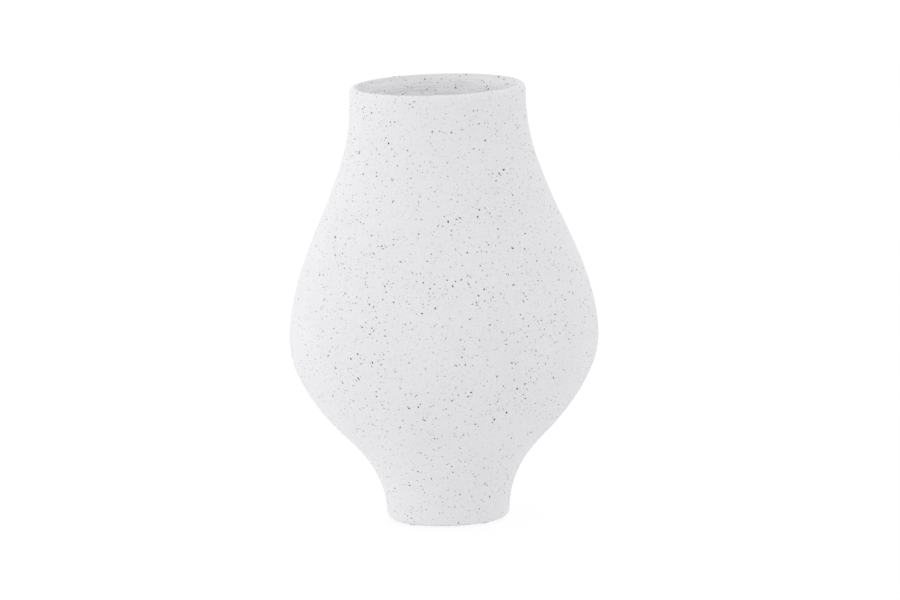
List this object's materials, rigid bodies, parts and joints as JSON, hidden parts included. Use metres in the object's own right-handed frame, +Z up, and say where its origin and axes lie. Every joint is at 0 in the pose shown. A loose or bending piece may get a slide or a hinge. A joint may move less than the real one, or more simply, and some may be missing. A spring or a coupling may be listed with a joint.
{
  "type": "ceramic vase",
  "caption": "Round-bellied matt stoneware vase with a wide upright neck, an open mouth and a small tapered foot standing on silicone dots.",
  "frame": {"origin": "on the vase's own axis, level with the undersides of the silicone dots, so the table it stands on is z = 0", "axes": "+Z up along the axis the vase is turned about, from the foot to the mouth; X and Y are level, the vase is round, and the four dots lie on the diagonals between them"},
  "size_m": [0.177, 0.177, 0.2509],
  "materials": {
    "speckled_glaze": "matte",
    "silicone_dot": "satin"
  },
  "bodies": {
    "root": {"vase_body": "speckled_glaze", "foot_bumper_1": "silicone_dot", "foot_bumper_2": "silicone_dot", "foot_bumper_3": "silicone_dot", "foot_bumper_4": "silicone_dot"}
  },
  "joints": []
}
